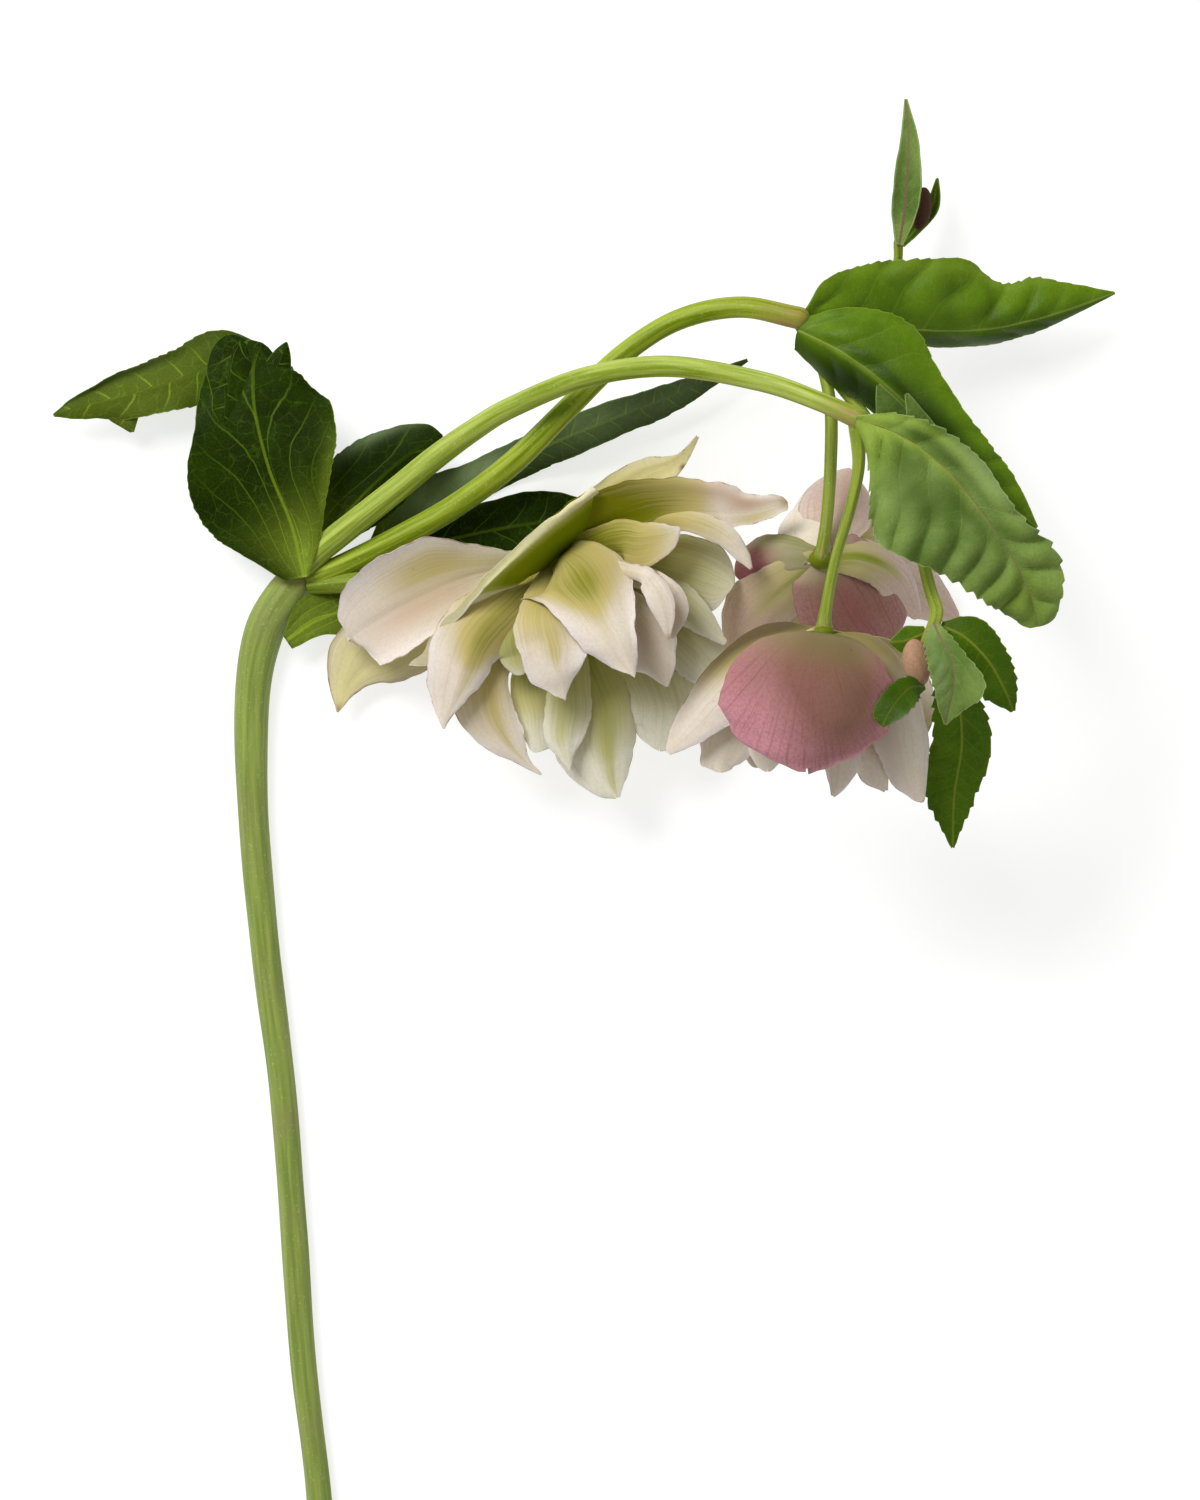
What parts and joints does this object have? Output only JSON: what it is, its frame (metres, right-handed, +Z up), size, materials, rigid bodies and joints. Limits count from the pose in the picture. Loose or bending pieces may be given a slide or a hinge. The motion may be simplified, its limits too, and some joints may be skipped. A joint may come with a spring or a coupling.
{
  "type": "cut hellebore flower stem",
  "caption": "Cut stem of a double hellebore, laid on its side, with arching branches, nodding frilled blooms, buds and toothed leafy bracts.",
  "frame": {"origin": "the small flat under the stem's top node, on the surface that the cut stem lies on", "axes": "+Z up from the surface, +Y from the cut end towards the branches, +X the way the branches arch"},
  "size_m": [0.1925, 0.2791, 0.0658],
  "materials": {
    "stem": "satin",
    "branch": "satin",
    "dark_leaf": "satin",
    "leaf": "satin",
    "pale_petal": "matte",
    "pink_petal": "matte",
    "bud": "matte"
  },
  "bodies": {
    "root": {"main_stem": "stem", "front_branch": "branch", "back_branch": "branch", "big_bloom_stalk": "branch", "front_bloom_stalk": "branch", "back_bloom_stalk": "branch", "nodding_bud_stalk": "branch", "upright_bud_stalk": "branch", "left_bract": "dark_leaf", "upper_bract": "dark_leaf", "long_bract": "dark_leaf", "hidden_bract": "dark_leaf", "lower_bract": "dark_leaf", "far_leaf": "leaf", "near_leaf": "leaf", "big_leaf": "leaf", "nodding_bud_bract_1": "leaf", "nodding_bud_bract_2": "leaf", "nodding_bud_bract_3": "leaf", "nodding_bud_bract_4": "leaf", "nodding_bud_bract_5": "leaf", "upright_bud_bract_1": "leaf", "upright_bud_bract_2": "leaf", "nodding_bud": "bud", "upright_bud": "bud", "big_bloom": "pale_petal", "front_bloom": "pink_petal", "back_bloom": "pink_petal"}
  },
  "joints": []
}
